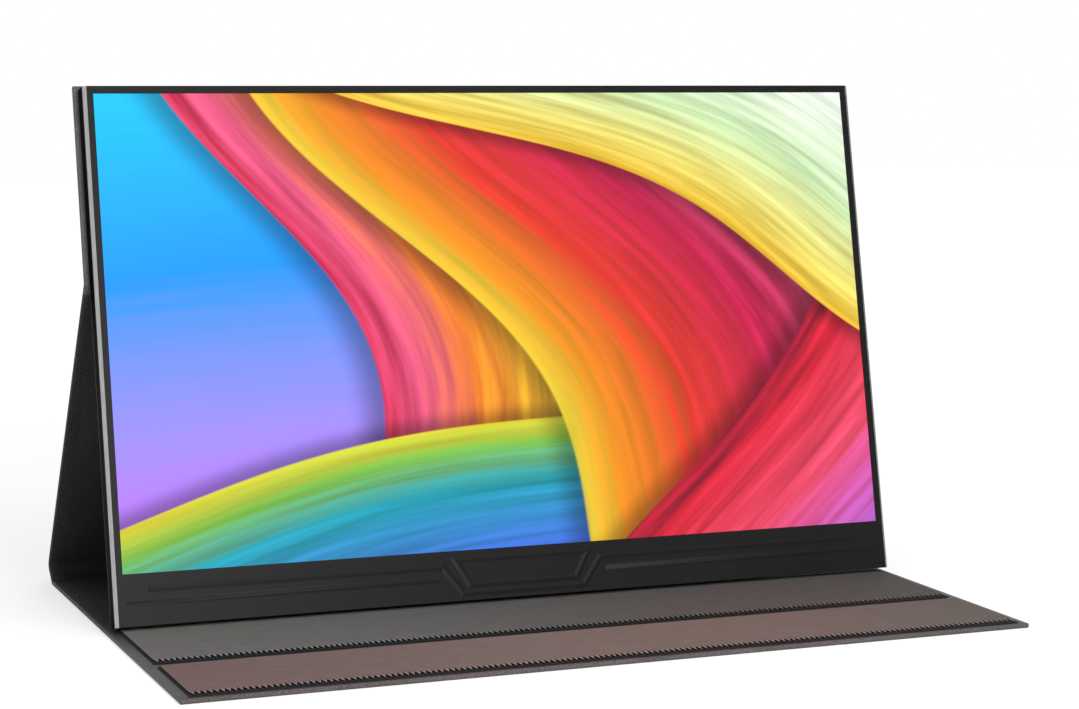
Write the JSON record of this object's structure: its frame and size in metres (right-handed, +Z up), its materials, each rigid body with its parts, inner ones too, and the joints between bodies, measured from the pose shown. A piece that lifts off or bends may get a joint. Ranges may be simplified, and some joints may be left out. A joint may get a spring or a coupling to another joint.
{
  "type": "portable monitor with cover",
  "caption": "Slim portable monitor on a folding leather-look cover that stands it up, with side keys and sockets.",
  "frame": {"origin": "centre of the footprint on the table, under the cover's flap", "axes": "+X to the viewer's right along the screen, +Y away from the viewer, +Z up"},
  "size_m": [0.3566, 0.2394, 0.2204],
  "materials": {
    "cover_leather": "satin grained",
    "cover_lining": "matt",
    "cover_board": "matt",
    "front_grip": "semi-matt",
    "rear_grip": "semi-matt",
    "hem_fabric": "matt",
    "magnet": "plated",
    "bezel_plastic": "fine texture",
    "frame_metal": "anodised",
    "housing_metal": "anodised",
    "picture_film": "anti-glare",
    "cell_glass": "clear",
    "clear_acrylic": "clear",
    "white_film": "matt",
    "tray_steel": "rolled",
    "inner_plastic": "matt",
    "circuit_board": "solder mask",
    "ribbon_film": "satin",
    "socket_metal": "plated",
    "key_plastic": "matt",
    "lead_rubber": "matt",
    "screw_steel": "black oxide"
  },
  "bodies": {
    "flap": {"flap_skin": "cover_leather", "flap_board": "cover_board", "flap_lining": "cover_lining", "flap_magnets": "magnet", "front_grip_strip": "front_grip", "rear_grip_strip": "rear_grip", "front_strip_base": "hem_fabric", "rear_strip_base": "hem_fabric", "toe_fold": "cover_leather"},
    "spine": {"spine_skin": "cover_leather", "spine_board": "cover_board", "spine_lining": "cover_lining", "heel_fold": "cover_leather"},
    "leg": {"leg_skin": "cover_leather", "leg_board": "cover_board", "leg_lining": "cover_lining", "mid_fold": "cover_leather"},
    "monitor": {"upper_skin": "cover_leather", "upper_board": "cover_board", "upper_lining": "cover_lining", "upper_magnets": "magnet", "front_bezel": "bezel_plastic", "left_rail": "frame_metal", "right_rail": "frame_metal", "top_wall": "bezel_plastic", "bottom_wall": "bezel_plastic", "rear_housing": "housing_metal", "front_polariser": "picture_film", "display_cell": "cell_glass", "film_stack": "white_film", "light_guide": "clear_acrylic", "reflector_sheet": "white_film", "panel_tray": "tray_steel", "panel_frame": "inner_plastic", "led_bar": "white_film", "driver_board": "circuit_board", "main_board": "circuit_board", "board_insulator": "inner_plastic", "display_ribbon": "ribbon_film", "usb_c_lower": "socket_metal", "usb_c_upper": "socket_metal", "mini_hdmi": "socket_metal", "audio_jack": "inner_plastic", "key_switches": "inner_plastic", "left_speaker": "inner_plastic", "right_speaker": "inner_plastic", "speaker_leads": "lead_rubber", "housing_screws": "screw_steel", "board_screws": "screw_steel", "case_magnets": "magnet"},
    "power_key": {"power_button": "key_plastic"},
    "plus_key": {"plus_button": "key_plastic"},
    "minus_key": {"minus_button": "key_plastic"}
  },
  "joints": [
    {"name": "toe_fold", "type": "hinge", "parent": "flap", "child": "spine", "pos_m": [0, 0.11111, 0.001], "axis": [1, 0, 0], "range_deg": [-42, 0]},
    {"name": "heel_fold", "type": "hinge", "parent": "spine", "child": "leg", "pos_m": [0, 0.11869, 0.00783], "axis": [1, 0, 0], "range_deg": [0, 9.09]},
    {"name": "mid_fold", "type": "hinge", "parent": "leg", "child": "monitor", "pos_m": [0, 0.03317, 0.13987], "axis": [1, 0, 0], "range_deg": [0, 44.35]},
    {"name": "power_press", "type": "slide", "parent": "monitor", "child": "power_key", "axis": [-1, 0, 0], "range_m": [0, 0.0005], "stiffness_N_per_m": 2000, "springref_m": -0.0002},
    {"name": "plus_press", "type": "slide", "parent": "monitor", "child": "plus_key", "axis": [-1, 0, 0], "range_m": [0, 0.0005], "stiffness_N_per_m": 2000, "springref_m": -0.0002},
    {"name": "minus_press", "type": "slide", "parent": "monitor", "child": "minus_key", "axis": [-1, 0, 0], "range_m": [0, 0.0005], "stiffness_N_per_m": 2000, "springref_m": -0.0002}
  ],
  "couplings": [
    {"joint": "heel_fold", "follows": "toe_fold", "ratio": -0.21598},
    {"joint": "mid_fold", "follows": "toe_fold", "ratio": -1.0554}
  ]
}
